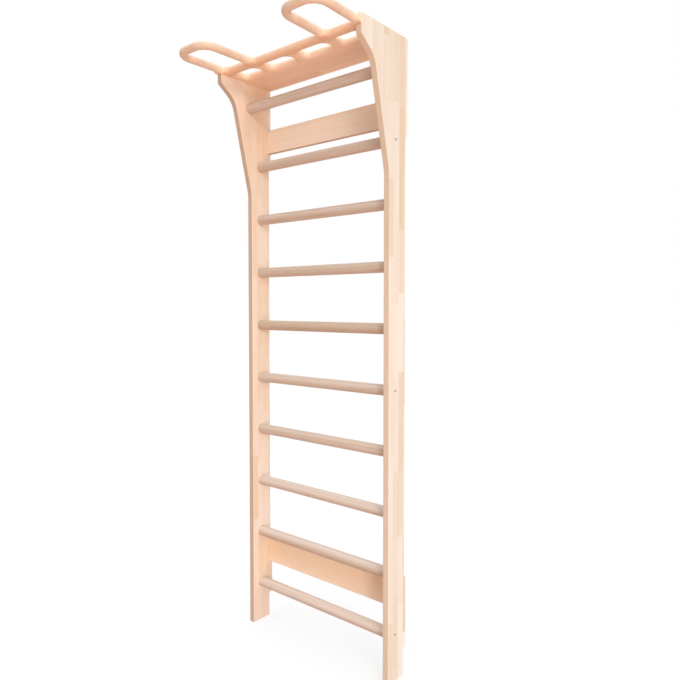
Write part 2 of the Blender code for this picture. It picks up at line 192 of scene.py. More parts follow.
class PullUpBoardSizes(bpy.types.PropertyGroup):
    """The pull-up board from above: depths from the wall, widths across."""

    front_depth: length("Front depth", "From the wall to the front of the rail", 0.247)
    shoulder_depth: length("Shoulder depth", "From the wall to the front that covers the noses", 0.277)
    shoulder_inset: length("Shoulder inset", "How far the ends stop inside the uprights' faces", 0.002)
    rail_width: length("Rail width", "Width of the front rail, in front of the slots", 0.032)
    slot_depth: length("Slot depth", "Size of a finger slot from front to back", 0.062)
    slot_corner: length("Slot corner", "Radius of the slots' corners", 0.022)
    centre_bridge: length("Centre bridge", "Wood between the two inner slots", 0.042)
    slot_bridge: length("Slot bridge", "Wood between an inner and an outer slot", 0.038)
    inner_slot: length("Inner slot", "Length of an inner slot", 0.134)
    end_margin: length("End margin", "Wood between an outer slot and its upright", 0.024)
    loop_overhang: length("Loop overhang", "How far a loop's root reaches past the inner faces", 0.016)
    loop_width: length("Loop width", "Width of a loop handle", 0.180)
    loop_splay: length("Loop splay", "How far a loop's front is set further out than its root", 0.006)
    bar_width: length("Bar width", "Width of a loop's bars", 0.028)
    loop_corner: length("Loop corner", "Radius of a loop's outer corners", 0.066)
    loop_fillet: length("Loop fillet", "Radius between a loop and the rail", 0.018)
    eye_back_corner: length("Eye corner", "Radius of an eye's corners at the rail", 0.022)
    eye_setback: length("Eye setback", "How far an eye stops in front of the rail's own front", 0.001)
    grip_round: length("Grip round", "Radius of all the edges that a hand closes round", 0.013)


class SmallPartSizes(bpy.types.PropertyGroup):
    """Sizes of the rungs' ends, the mounting boards' edges and the screws."""

    rung_end: length("Rung end", "Chamfer at the ends of a rung", 0.0015)
    board_edge: length("Board edge", "Radius of the mounting boards' long edges", 0.002)
    dowel_diameter: length("Dowel diameter", "Diameter of the dowels in the boards' ends", 0.008)
    screw_head: length("Screw head", "Diameter of a screw's head", 0.008)
    screw_head_height: length("Head height", "Height of a screw's head", 0.003)
    screw_shank: length("Screw shank", "Diameter of a screw's shank", 0.0042)
    recess_length: length("Recess length", "Length of the driver recess's arms", 0.0046)
    recess_width: length("Recess width", "Width of the driver recess's arms", 0.0011)
    recess_depth: length("Recess depth", "Depth of the driver recess", 0.0018)
    dowel_chamfer: length("Dowel chamfer", "Chamfer at the ends of a dowel", 0.001)
    dowel_flute: length("Dowel flute", "Depth of the flutes that let the glue out", 0.0003)


class WoodColours(bpy.types.PropertyGroup):
    """Colours of the lacquered birch and of the fittings."""

    right_pale: colour("Right panel, pale", "Pale staves of the right upright", "#ECE3D9")
    right_warm: colour("Right panel, warm", "Warm staves of the right upright", "#D5B795")
    right_edge: colour("Right panel edge", "Edges of the right upright", "#D7B79A")
    # The left upright's pale and warm are warmer than the right's: partly the wood's own tone, partly painted
    # shade
    left_pale: colour("Left panel, pale", "Pale staves of the left upright", "#EED9C7")
    left_warm: colour("Left panel, warm", "Warm staves of the left upright", "#E4C1A0")
    left_edge: colour("Left panel edge", "Edges of the left upright", "#BD9D82")
    joint: colour("Joints", "Glue lines between the staves and blocks", "#C99C6E")
    rung_pale: colour("Rung, pale", "Pale wood of the rungs", "#DCC5B7")
    rung_warm: colour("Rung, warm", "Darker streaks of the rungs", "#B2916F")
    board_pale: colour("Board, pale", "Pale wood of the mounting boards", "#FDE9D6")
    board_warm: colour("Board, warm", "Darker bands of the mounting boards", "#F4CDA7")
    # Painted shade: the browner top and bottom edges of the mounting boards stand for the shade lines along
    # them
    board_edge: colour("Board, edges", "Sawn edges of the mounting boards", "#C08E68")
    grip_pale: colour("Pull-up board, pale", "Pale wood of the pull-up board", "#FDDBBF")
    grip_warm: colour("Pull-up board, warm", "Darker bands of the pull-up board", "#E9B894")
    # The greyer colour of the loops, forward of the rail
    grip_front_grey: colour("Grip, cut ends", "Cut fibres in the loops", "#D2B69E")
    fleck: colour("Flecks", "Pith flecks and pin knots", "#A9754B")
    dowel: colour("Dowel", "Beech of the dowels", "#D9B48A")
    zinc: colour("Zinc", "Zinc plating of the screws", "#B4B2AC")


class StageSettings(bpy.types.PropertyGroup):
    """The studio's light and floor."""

    key_strength: light_level("Key", "Strength of the key light", 0.85)
    key_angle: angle("Key softness", "How wide the key light looks", 14)
    top_strength: light_level("Top", "Strength of the overhead light", 2.78)
    top_angle: angle("Top softness", "How wide the overhead light looks", 70)
    top_tint: colour("Top tint", "Colour of the overhead light", "#EBF7FF")
    side_power: light_level("Side", "Power of the softbox", 88, "POWER")
    side_size: length("Side size", "Width and height of the softbox", 2.5)
    side_tint: colour("Side tint", "Colour of the softbox", "#F0FBFF")
    air_strength: light_level("Air", "Light from all round", 0.42)
    air_tint: colour("Air tint", "Colour of the light from all round", "#FAFDFF")
    bounce: colour("Bounce", "Colour that the floor throws up at the wood", "#D5B6A7")


# Modelling, as by hand


def switch_to(mode):
    """Goes to edit mode or back to object mode."""
    bpy.ops.object.mode_set(mode=mode)


def deselect():
    """Object mode, with nothing selected."""
    if bpy.context.object and bpy.context.object.mode != "OBJECT":
        switch_to("OBJECT")
    bpy.ops.object.select_all(action="DESELECT")


def take(*pieces):
    """Selects these pieces only; the first is the active one."""
    deselect()
    for piece in pieces:
        piece.select_set(True)
    bpy.context.view_layer.objects.active = pieces[0]


def pick(piece, kind, test):
    """In edit mode, selects the piece's vertices, edges or faces that pass a test."""
    bpy.ops.mesh.select_mode(type=kind)
    bpy.ops.mesh.select_all(action="DESELECT")
    bm = bmesh.from_edit_mesh(piece.data)
    for element in {"VERT": bm.verts, "EDGE": bm.edges, "FACE": bm.faces}[kind]:
        element.select_set(test(element))
    bm.select_flush_mode()
    bmesh.update_edit_mesh(piece.data)


def draw_outline(corners):
    """A closed line in the XY plane from (x, y, radius) corners, each round corner a vertex bevel."""
    deselect()
    bpy.ops.mesh.primitive_circle_add(vertices=len(corners))
    outline = bpy.context.object
    switch_to("EDIT")
    bm = bmesh.from_edit_mesh(outline.data)
    for vert, corner in zip(bm.verts, corners):
        vert.co = (corner[0], corner[1], 0)
    bmesh.update_edit_mesh(outline.data)
    for index, (x, y, radius) in enumerate(corners):
        if radius <= 0:
            continue
        corner = Vector((x, y))
        before = Vector(corners[index - 1][:2]) - corner
        after = Vector(corners[(index + 1) % len(corners)][:2]) - corner
        turn = math.pi - before.angle(after)
        # A conic through the corner's two tangent points is a true arc at this fullness
        fullness = math.cos(turn / 2) / (1 + math.cos(turn / 2))
        pick(outline, "VERT", lambda vert: (vert.co.xy - corner).length < MERGE)
        bpy.ops.mesh.bevel(
            offset=radius * math.tan(turn / 2),
            segments=max(2, round(turn * math.sqrt(radius / ARC_SAG / 8))),
            profile=((1 + fullness) / 2) ** 2,
            affect="VERTICES",
            clamp_overlap=False,
        )
    switch_to("OBJECT")
    return outline


def shape_plate(name, outlines, thickness, edge_round, steps):
    """A flat board cut to the first outline, with the others as openings, and every edge rounded over."""
    drawn = [draw_outline(corners) for corners in outlines]
    take(*drawn)
    if len(drawn) > 1:
        bpy.ops.object.join()
    bpy.ops.object.convert(target="CURVE")
    plate = bpy.context.object
    plate.name = name
    plate.data.dimensions = "2D"
    plate.data.fill_mode = "BOTH"
    plate.data.extrude = thickness / 2 - edge_round
    plate.data.bevel_depth = edge_round
    plate.data.bevel_resolution = steps
    plate.data.offset = -edge_round
    bpy.ops.object.convert(target="MESH")
    switch_to("EDIT")
    bpy.ops.mesh.select_all(action="SELECT")
    bpy.ops.mesh.remove_doubles(threshold=MERGE)
    switch_to("OBJECT")
    return bpy.context.object


def settle_here():
    """Moves the place, turn and size of the active piece into its mesh."""
    bpy.ops.object.transform_apply(location=True, rotation=True, scale=True)


def settle(piece, location, rotation=(0, 0, 0)):
    """Puts a piece in its place, with that place in its mesh."""
    take(piece)
    piece.location = location
    piece.rotation_euler = rotation
    settle_here()


def cylinder(start, end, centre, radius, sides=SMALL_SIDES):
    """A cylinder across the object, from one x to another, about a (y, z) centre."""
    deselect()
    bpy.ops.mesh.primitive_cylinder_add(
        vertices=sides,
        radius=radius,
        depth=abs(end - start),
        location=((start + end) / 2, *centre),
        rotation=(0, math.pi / 2, 0),
    )
    made = bpy.context.object
    settle_here()
    return made


def block(low, high):
    """A box between two opposite corners."""
    deselect()
    low, high = Vector(low), Vector(high)
    bpy.ops.mesh.primitive_cube_add(size=1, location=(low + high) / 2, scale=high - low)
    made = bpy.context.object
    settle_here()
    return made


def turn_on_lathe(stations, sides):
    """A round piece about the x axis from (x, radius) stations, each extruded from the one before."""
    deselect()
    bpy.ops.mesh.primitive_circle_add(
        vertices=sides, radius=stations[0][1], fill_type="NGON", rotation=(0, math.pi / 2, 0)
    )
    turned = bpy.context.object
    settle(turned, (stations[0][0], 0, 0), (0, math.pi / 2, 0))
    switch_to("EDIT")
    bpy.ops.mesh.select_all(action="SELECT")
    for (x, radius), (next_x, next_radius) in zip(stations, stations[1:]):
        bpy.ops.mesh.extrude_region_move(TRANSFORM_OT_translate={"value": (next_x - x, 0, 0)})
        wider = next_radius / radius
        bpy.ops.transform.resize(value=(1, wider, wider), center_override=(next_x, 0, 0))
    bpy.ops.mesh.select_all(action="SELECT")
    bpy.ops.mesh.normals_make_consistent(inside=False)
    switch_to("OBJECT")
    return turned


def cut(piece, cutters):
    """Takes the cutters, which don't touch each other, out of a piece."""
    take(*cutters)
    if len(cutters) > 1:
        bpy.ops.object.join()
    cutter = bpy.context.object
    take(piece)
    modifier = piece.modifiers.new("Cut", "BOOLEAN")
    modifier.operation = "DIFFERENCE"
    modifier.solver = "MANIFOLD"
    modifier.object = cutter
    bpy.ops.object.modifier_apply(modifier=modifier.name)
    bpy.data.objects.remove(cutter)


def copy_piece(piece, name):
    """A copy with its own mesh."""
    take(piece)
    bpy.ops.object.duplicate(linked=False)
    made = bpy.context.object
    made.name = name
    return made


def mirror_across(piece):
    """Turns a piece into its mirror image on the other side of the object."""
    take(piece)
    switch_to("EDIT")
    bpy.ops.mesh.select_all(action="SELECT")
    bpy.ops.transform.mirror(constraint_axis=(True, False, False), center_override=(0, 0, 0))
    bpy.ops.mesh.normals_make_consistent(inside=False)
    switch_to("OBJECT")


def finish_piece(piece, name, material, slot, *nodes):
    """Shades round faces smooth and flat ones flat, and lets the piece stand for its CAD nodes."""
    take(piece)
    piece.name = name
    piece.data.name = name
    bpy.ops.object.shade_smooth_by_angle(angle=SHARP_ANGLE)
    modifier = piece.modifiers.new("Flat faces stay flat", "WEIGHTED_NORMAL")
    modifier.keep_sharp = True
    # The most that a face's area can count
    modifier.weight = 100
    bpy.ops.object.modifier_apply(modifier=modifier.name)
    piece.data.materials.clear()
    piece.data.materials.append(material)
    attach(piece, "root")
    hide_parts(*nodes)


# Places that several pieces share


def node_axis(node):
    """The (y, z) of the axis of a rung, dowel or screw, all of which lie across the object."""
    low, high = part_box(node)
    return (low.y + high.y) / 2, (low.z + high.z) / 2


def rung_axis(number):
    """The (y, z) of a rung's axis."""
    return node_axis(f"rung_{number:02d}")


def is_flute(vert, chamfer, low, high):
    """True for every second line of vertices along a dowel, between its chamfers."""
    turn = math.atan2(vert.co.z, vert.co.y) / math.tau * DOWEL_SIDES
    inside = low.x + chamfer / 2 < vert.co.x < high.x - chamfer / 2
    return inside and round(turn) % 2 == 0


def put_in(piece, name, side, material, slot, node, turn=0.0):
    """A finished copy of a screw or dowel on its node's axis, turned about it, and mirrored on the left."""
    placed = copy_piece(piece, name)
    if side < 0:
        mirror_across(placed)
    settle(placed, (0, *node_axis(node)), (turn, 0, 0))
    finish_piece(placed, name, material, slot, node)


def dowel_nodes(board):
    """The names of the right-hand dowels of a board."""
    return [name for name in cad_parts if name.startswith(f"{board}_dowel_right")]


def end_holes(start, node, radius):
    """Cutters for a hole at each end of a piece, from a distance off the middle, on a node's axis."""
    axis = node_axis(node)
    return [cylinder(side * start, side * OUTER, axis, radius) for side in SIDES.values()]


def drill_for_dowels(piece, board, diameter):
    """Drills both ends of a board for its dowels."""
    radius = diameter / 2 + HOLE_CLEARANCE
    holes = []
    for dowel in dowel_nodes(board):
        holes += end_holes(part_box(dowel)[0].x - GAP, dowel, radius)
    cut(piece, holes)


# Materials


def join(tree, made, inputs):
    """Sets a node's inputs to values and colours, or links them; a node gives its first output in use."""
    for key, value in inputs.items():
        socket = made.inputs[key]
        if isinstance(value, bpy.types.Node):
            value = next(output for output in value.outputs if output.enabled)
        if isinstance(value, bpy.types.NodeSocket):
            tree.links.new(value, socket)
        else:
            socket.default_value = (*value, 1) if socket.type == "RGBA" else value


def add_node(tree, kind, inputs, **settings):
    """A node, its kind given without the leading ShaderNode, with its settings, values and links."""
    made = tree.nodes.new(f"ShaderNode{kind}")
    for name, value in settings.items():
        setattr(made, name, value)
    join(tree, made, inputs)
    return made


def new_material(name):
    """A material with nodes, its tree and its shader."""
    made = bpy.data.materials.new(name)
    made.use_nodes = True
    return made, made.node_tree, made.node_tree.nodes["Principled BSDF"]


def object_axes(tree, output="Object"):
    """The x, y and z of each point of the object, or of the direction that its surface faces there."""
    place = add_node(tree, "TexCoord", {})
    return add_node(tree, "SeparateXYZ", {0: place.outputs[output]}).outputs


def lay_over(tree, body, mask, share, colour):
    """Lays a colour over the wood, by a share of a mask."""
    thin = add_node(tree, "Math", {0: mask, 1: share}, operation="MULTIPLY")
    return add_node(tree, "Mix", {0: thin, 6: body, 7: colour}, data_type="RGBA")


def glue_up(tree, along, across, seed, first_joint, stave, block):
    """Staves side by side, each a row of finger-jointed blocks.

    Returns three random numbers for each block, as a colour, and a line along every joint.
    """
    row = add_node(tree, "Math", {0: across, 1: first_joint}, operation="SUBTRACT")
    row = add_node(tree, "Math", {0: row, 1: stave}, operation="DIVIDE")
    number = add_node(tree, "Math", {0: row}, operation="FLOOR")
    number = add_node(tree, "Math", {0: number, 1: seed}, operation="ADD")
    luck = add_node(tree, "TexWhiteNoise", {"W": number}, noise_dimensions="1D")
    place = add_node(tree, "Math", {0: along, 1: block}, operation="DIVIDE")
    # Each stave's row of blocks starts at a place of its own, up to 97 blocks on
    place = add_node(tree, "Math", {0: luck, 1: 97.0, 2: place}, operation="MULTIPLY_ADD")
    at_place = {"W": place, "Scale": 1.0}
    blocks = add_node(tree, "TexVoronoi", at_place, voronoi_dimensions="1D")
    ends = add_node(tree, "TexVoronoi", at_place, voronoi_dimensions="1D", feature="DISTANCE_TO_EDGE")
    ends = add_node(tree, "Math", {0: ends, 1: block}, operation="MULTIPLY")
    sides = add_node(tree, "Math", {0: row}, operation="FRACT")
    sides = add_node(tree, "Math", {0: sides, 1: 0.5}, operation="PINGPONG")
    # Between two staves the glue line is finer than at the fingers
    sides = add_node(tree, "Math", {0: sides, 1: 2.5 * stave}, operation="MULTIPLY")
    nearest = add_node(tree, "Math", {0: ends, 1: sides}, operation="MINIMUM")
    # A glue line is 0.1 mm thick, drawn fading out over 1 mm on each side so that it shows
    line = add_node(tree, "MapRange", {0: nearest, 1: 0.0, 2: 0.001, 3: 1.0, 4: 0.0})
    return blocks.outputs["Color"], line


def birch_figure(tree, along, across, through, block):
    """What a cut through a birch log shows, each block of wood at its own place in the log.

    Returns growth rings, bands of denser growth, fibres and flecks, and the block's tint, each from 0 to 1.
    """
    luck = add_node(tree, "SeparateColor", {0: block}).outputs
    # Blocks come from up to 40 m along the log, and from up to 60 mm and 50 mm further across it
    shift = add_node(tree, "Math", {0: luck[2], 1: 40.0, 2: along}, operation="MULTIPLY_ADD")
    spot = add_node(tree, "CombineXYZ", {0: across, 1: through, 2: shift})
    slow = add_node(tree, "VectorMath", {0: spot, 1: (5.0, 5.0, 1.6)}, operation="MULTIPLY")
    # The log isn't straight: over half a metre its grain drifts by a centimetre or so
    drift = add_node(tree, "TexNoise", {"Vector": slow, "Scale": 1.0, "Detail": 2.0})
    drift = add_node(tree, "Math", {0: drift, 1: 0.035, 2: across}, operation="MULTIPLY_ADD")
    out = add_node(tree, "Math", {0: luck[0], 1: 0.06, 2: drift}, operation="MULTIPLY_ADD")
    deep = add_node(tree, "Math", {0: luck[1], 1: 0.05, 2: through}, operation="MULTIPLY_ADD")
    from_pith = add_node(tree, "CombineXYZ", {0: out, 1: deep})
    radius = add_node(tree, "VectorMath", {0: from_pith}, operation="LENGTH")
    # Rings about 2.5 mm apart
    rings = add_node(tree, "TexNoise", {"W": radius, "Scale": 400.0, "Detail": 2.0}, noise_dimensions="1D")
    # Groups of good and poor years, 10 to 20 mm wide, which show from across a room
    bands = add_node(tree, "TexNoise", {"W": radius, "Scale": 70.0, "Detail": 1.0}, noise_dimensions="1D")
    # Birch fibres are 0.02 mm thick and 1 mm long, drawn in bundles of 2 by 90 mm so that they show
    streaks = add_node(tree, "VectorMath", {0: spot, 1: (500.0, 500.0, 11.0)}, operation="MULTIPLY")
    fibres = add_node(tree, "TexNoise", {"Vector": streaks, "Scale": 1.0, "Detail": 3.0})
    # Pith flecks: brown dashes up to 2.5 mm wide and 20 mm long, half of them less than half that
    dashes = add_node(tree, "VectorMath", {0: spot, 1: (70.0, 70.0, 9.0)}, operation="MULTIPLY")
    cells = add_node(tree, "TexVoronoi", {"Vector": dashes, "Scale": 1.0})
    some = add_node(tree, "SeparateColor", {0: cells.outputs["Color"]})
    some = add_node(tree, "MapRange", {0: some, 1: 0.0, 2: 0.3, 3: 0.09, 4: 0.0})
    flecks = add_node(tree, "Math", {0: cells, 1: some}, operation="LESS_THAN")
    return (rings, bands, fibres, flecks), luck[1]


def lacquered_birch(tree, shader, figure, tint, pale, warm, strength, fleck):
    """Sanded birch under thin satin lacquer: returns its colour, and sets its gloss and its raised grain.

    The colour goes from pale to warm by two things: strength is the share that the rings, bands and fibres
    have in it, and the rest is the block's own tint.
    """
    rings, bands, fibres, flecks = figure
    swing = add_node(tree, "Math", {0: rings, 1: 0.30}, operation="MULTIPLY")
    swing = add_node(tree, "Math", {0: bands, 1: 0.40, 2: swing}, operation="MULTIPLY_ADD")
    swing = add_node(tree, "Math", {0: fibres, 1: 0.30, 2: swing}, operation="MULTIPLY_ADD")
    tone = add_node(tree, "MapRange", {0: swing, 1: 0.35, 2: 0.65, 3: 0.0, 4: 1.0})
    tone = add_node(tree, "Mix", {0: strength, 2: tint, 3: tone})
    body = add_node(tree, "Mix", {0: tone, 6: pale, 7: warm}, data_type="RGBA")
    # The lacquer lies thinner over the dense late wood, which stays a little glossier
    gloss = add_node(tree, "MapRange", {0: swing, 1: 0.3, 2: 0.7, 3: 0.54, 4: 0.44})
    # Grain that the lacquer's water raised stands about 0.05 mm proud
    grain = add_node(tree, "Math", {0: rings, 1: fibres}, operation="ADD")
    grain = add_node(tree, "Math", {0: grain, 1: flecks}, operation="SUBTRACT")
    bump = add_node(tree, "Bump", {"Strength": 0.5, "Distance": 0.00005, "Height": grain})
    join(tree, shader, {"Roughness": gloss, "Normal": bump, "IOR": 1.5})
    join(tree, shader, {"Coat Weight": 0.12, "Coat Roughness": 0.35})
    return lay_over(tree, body, flecks, 0.35, fleck)


def panel_birch(wood):
    """Edge-glued birch panel: cream and pinkish staves with finger joints, tan where its edges were sawn."""
    made, tree, shader = new_material("birch_edge_glued_lacquered")
    through, across, height = object_axes(tree)
    right = add_node(tree, "Math", {0: through, 1: 0.0}, operation="GREATER_THAN")
    seed = add_node(tree, "MapRange", {0: right, 1: 0.0, 2: 1.0, 3: LEFT_DRAW, 4: RIGHT_DRAW})
    # Fingers 3.8 mm wide and 10 mm long: they show as teeth on the edges and as straight joints on the faces
    teeth = add_node(tree, "Math", {0: through, 1: 0.0019}, operation="PINGPONG")
    along = add_node(tree, "Math", {0: teeth, 1: 5.3, 2: height}, operation="MULTIPLY_ADD")
    block, line = glue_up(tree, along, across, seed, *PANEL_STAVES)
    figure, tint = birch_figure(tree, height, across, through, block)
    # Each upright takes its own colours: the left's warmer pale and warm are partly painted shade, and its
    # edge is darker
    pale, warm, sawn = [
        add_node(tree, "Mix", {0: right, 6: left_colour, 7: right_colour}, data_type="RGBA")
        for left_colour, right_colour in (
            (wood.left_pale, wood.right_pale),
            (wood.left_warm, wood.right_warm),
            (wood.left_edge, wood.right_edge),
        )
    ]
    body = lacquered_birch(tree, shader, figure, tint, pale, warm, 0.24, wood.fleck)
    # Edges are what faces away from the sides
    facing = add_node(tree, "Math", {0: object_axes(tree, "Normal")[0]}, operation="ABSOLUTE")
    edge = add_node(tree, "MapRange", {0: facing, 1: 0.25, 2: 0.70, 3: 1.0, 4: 0.0})
    body = lay_over(tree, body, edge, 0.80, sawn)
    join(tree, shader, {"Base Color": lay_over(tree, body, line, 0.11, wood.joint)})
    return made


def turned_birch(wood):
    """Turned birch: grain lines run the length of each rung, and each rung has its own tint."""
    made, tree, shader = new_material("birch_turned_lacquered")
    along, across, height = object_axes(tree)
    lowest = rung_axis(RUNG_COUNT)[1]
    pitch = rung_axis(RUNG_COUNT - 1)[1] - lowest
    step = add_node(tree, "Math", {0: height, 1: lowest - pitch / 2}, operation="SUBTRACT")
    step = add_node(tree, "Math", {0: step, 1: pitch}, operation="DIVIDE")
    number = add_node(tree, "Math", {0: step}, operation="FLOOR")
    number = add_node(tree, "Math", {0: number, 1: RUNG_DRAW}, operation="ADD")
    through = add_node(tree, "Math", {0: step}, operation="FRACT")
    through = add_node(tree, "Math", {0: through, 1: pitch}, operation="MULTIPLY")
    luck = add_node(tree, "TexWhiteNoise", {"W": number}, noise_dimensions="1D")
    figure = birch_figure(tree, along, across, through, luck.outputs["Color"])[0]
    body = lacquered_birch(tree, shader, figure, luck, wood.rung_pale, wood.rung_warm, 0.55, wood.fleck)
    join(tree, shader, {"Base Color": body})
    return made


def planed_birch(wood):
    """Planed birch: staves half a board wide, with long slow bands of grain, and top and bottom edges painted
    browner as shade.
    """
    made, tree, shader = new_material("birch_planed_lacquered")
    along, through, across = object_axes(tree)
    low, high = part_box("upper_mounting_board")
    block = glue_up(tree, along, across, BOARD_DRAW, low.z, (high.z - low.z) / 2, BOARD_BLOCK)[0]
    figure, tint = birch_figure(tree, along, across, through, block)
    # The lower board came from a yellower plank than the upper one
    plank = add_node(tree, "MapRange", {0: across, 1: 0.5, 2: 1.5, 3: 1.0, 4: 0.0})
    tint = add_node(tree, "Mix", {0: 0.75, 2: tint, 3: plank})
    body = lacquered_birch(tree, shader, figure, tint, wood.board_pale, wood.board_warm, 0.35, wood.fleck)
    # Painted shade: faces that turn up or down, the boards' long edges, are painted browner, as the shade
    # lines along them
    facing = add_node(tree, "Math", {0: object_axes(tree, "Normal")[2]}, operation="ABSOLUTE")
    edge = add_node(tree, "MapRange", {0: facing, 1: 0.40, 2: 0.90, 3: 0.0, 4: 1.0})
    join(tree, shader, {"Base Color": lay_over(tree, body, edge, 0.85, wood.board_edge)})
    return made


def routed_birch(wood):
    """Routed birch: broad staves that run from loop to loop, their grain cut through by the round-overs."""
    made, tree, shader = new_material("birch_routed_lacquered")
    along, across, through = object_axes(tree)
    block, line = glue_up(tree, along, across, GRIP_DRAW, *GRIP_STAVES)
    figure, tint = birch_figure(tree, along, across, through, block)
    body = lacquered_birch(tree, shader, figure, tint, wood.grip_pale, wood.grip_warm, 0.35, wood.fleck)
    body = lay_over(tree, body, line, 0.06, wood.joint)
    # Forward of the rail, in the loops, the wood is made greyer
    ends = add_node(tree, "MapRange", {0: across, 1: -0.03, 2: -0.07, 3: 0.0, 4: 1.0})
    join(tree, shader, {"Base Color": lay_over(tree, body, ends, 0.55, wood.grip_front_grey)})
    return made


def mottle(tree, shader, pattern, colour, darkest, gloss, raised):
    """Colours a small part by a pattern, and sets its gloss and its relief by the same one."""
    darker = [darkest * channel for channel in colour]
    body = add_node(tree, "Mix", {0: pattern, 6: colour, 7: darker}, data_type="RGBA")
    rough = add_node(tree, "MapRange", {0: pattern, 1: 0.3, 2: 0.7, 3: gloss[0], 4: gloss[1]})
    bump = add_node(tree, "Bump", {"Strength": raised[0], "Distance": raised[1], "Height": pattern})
    join(tree, shader, {"Base Color": body, "Roughness": rough, "Normal": bump})


def dowel_beech(wood):
    """Beech dowel: evenly tan, with short dark rays along it, dull because no lacquer reaches it."""
    made, tree, shader = new_material("beech_dowel_fluted")
    place = add_node(tree, "TexCoord", {}).outputs["Object"]
    # Rays 0.6 by 3 mm, which stand 0.1 mm proud at most
    rays = add_node(tree, "VectorMath", {0: place, 1: (320.0, 1600.0, 1600.0)}, operation="MULTIPLY")
    rays = add_node(tree, "TexNoise", {"Vector": rays, "Scale": 1.0, "Detail": 2.0})
    mottle(tree, shader, rays, wood.dowel, 0.72, (0.58, 0.70), (0.4, 0.0001))
    return made


def zinc_plate(wood):
    """Zinc-plated steel: dull grey metal, clouded where the plating's crystals differ."""
    made, tree, shader = new_material("zinc_plated_steel")
    place = add_node(tree, "TexCoord", {}).outputs["Object"]
    # Clouds 1.5 mm wide
    clouds = add_node(tree, "TexNoise", {"Vector": place, "Scale": 650.0, "Detail": 3.0})
    mottle(tree, shader, clouds, wood.zinc, 0.6, (0.28, 0.42), (0.3, 0.00003))
    join(tree, shader, {"Metallic": 1.0})
    return made


# Operators


class WALLBARS_OT_uprights(bpy.types.Operator):
    """Add the two uprights, with their sockets, rebates and screw holes"""

    bl_idname = "wall_bars.add_uprights"
    bl_label = "Uprights"

    def execute(self, context):
        sizes = context.scene.wall_bars_uprights
        small = context.scene.wall_bars_small_parts
        material = panel_birch(context.scene.wall_bars_wood)
        profile = [
            (sizes.body_depth, 0.0, 0.0),
            (sizes.foot_relief, 0.0, 0.0),
            (sizes.foot_relief, sizes.foot_relief_height, sizes.pad_corner),
            (0.0, sizes.foot_relief_height + sizes.pad_step / 2, sizes.pad_corner),
            (0.0, sizes.lower_pad_top, sizes.pad_corner),
            (sizes.relief, sizes.lower_pad_top + sizes.pad_step, sizes.pad_corner),
            (sizes.relief, HEIGHT - sizes.upper_pad - sizes.pad_step, sizes.pad_corner),
            (0.0, HEIGHT - sizes.upper_pad, sizes.pad_corner),
            (0.0, HEIGHT, sizes.top_corner),
            (sizes.nose_depth, HEIGHT, sizes.nose_corner),
            (sizes.nose_depth, HEIGHT - sizes.nose_drop, sizes.nose_corner),
            (sizes.throat_depth, HEIGHT - sizes.throat_drop, sizes.throat_radius),
            (sizes.body_depth, HEIGHT - sizes.flare_drop, sizes.flare_radius),
        ]
        corners = [(WALL - depth, height, radius) for depth, height, radius in profile]
        upright = shape_plate("upright", [corners], OUTER - INNER, sizes.edge_round, EDGE_STEPS)
        settle(upright, ((INNER + OUTER) / 2, 0, 0), (math.pi / 2, 0, math.pi / 2))

        before = INNER - OVERSHOOT
        socket_end = RUNG_HIGH.x + GAP
        dowel_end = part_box(dowel_nodes("upper_board")[0])[1].x + GAP
        dowel_radius = small.dowel_diameter / 2 + HOLE_CLEARANCE
        sockets = [
            cylinder(before, socket_end, rung_axis(number), RUNG_RADIUS + GAP, SOCKET_SIDES)
            for number in range(1, RUNG_COUNT + 1)
        ]
        for board in ("upper_board", "lower_board"):
            for node in dowel_nodes(board):
                sockets.append(cylinder(before, dowel_end, node_axis(node), dowel_radius))
        cut(upright, sockets)
        rebate_end = INNER + sizes.board_rebate + GAP
        past_corner = (rebate_end, WALL + OVERSHOOT, HEIGHT + OVERSHOOT)
        cut(upright, [block((before, CAD_LOW.y, BOARD_LOW.z - GAP), past_corner)])
        screws = [f"right_screw_rung_{number:02d}" for number in SCREWED_RUNGS]
        shank = small.screw_shank / 2 + HOLE_CLEARANCE
        head = small.screw_head / 2 + HOLE_CLEARANCE
        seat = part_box(screws[0])[1].x - small.screw_head_height - GAP
        for nodes, start, end, radius in (
            (dowel_nodes("pull_up_board"), INNER, dowel_end, dowel_radius),
            (screws, INNER, seat + GAP, shank),
            (screws, seat, OUTER + OVERSHOOT, head),
        ):
            cut(upright, [cylinder(start, end, node_axis(node), radius) for node in nodes])

        mirrored = copy_piece(upright, "left")
        mirror_across(mirrored)
        finish_piece(upright, "right_upright_panel", material, "birch_panel", "right_upright")
        finish_piece(mirrored, "left_upright_panel", material, "birch_panel", "left_upright")
        return {"FINISHED"}


class WALLBARS_OT_rungs(bpy.types.Operator):
    """Add the ten turned rungs"""

    bl_idname = "wall_bars.add_rungs"
    bl_label = "Rungs"

    def execute(self, context):
        small = context.scene.wall_bars_small_parts
        material = turned_birch(context.scene.wall_bars_wood)
        rung = cylinder(RUNG_LOW.x, RUNG_HIGH.x, (0, 0), RUNG_RADIUS, SOCKET_SIDES)
        switch_to("EDIT")
        pick(rung, "EDGE", lambda edge: abs(edge.verts[0].co.x - edge.verts[1].co.x) < MERGE)
        bpy.ops.mesh.bevel(offset=small.rung_end, segments=CHAMFER_STEPS, affect="EDGES")
        switch_to("OBJECT")
        pilot = small.screw_shank / 2 + HOLE_CLEARANCE
        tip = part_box("right_screw_rung_02")[0].x - GAP
        for number in range(1, RUNG_COUNT + 1):
            placed = copy_piece(rung, "rung")
            settle(placed, (0, *rung_axis(number)))
            if number in SCREWED_RUNGS:
                cut(placed, end_holes(tip, f"right_screw_rung_{number:02d}", pilot))
            finish_piece(placed, f"rung_{number:02d}_turned", material, "birch_rung", f"rung_{number:02d}")
        bpy.data.objects.remove(rung)
        return {"FINISHED"}


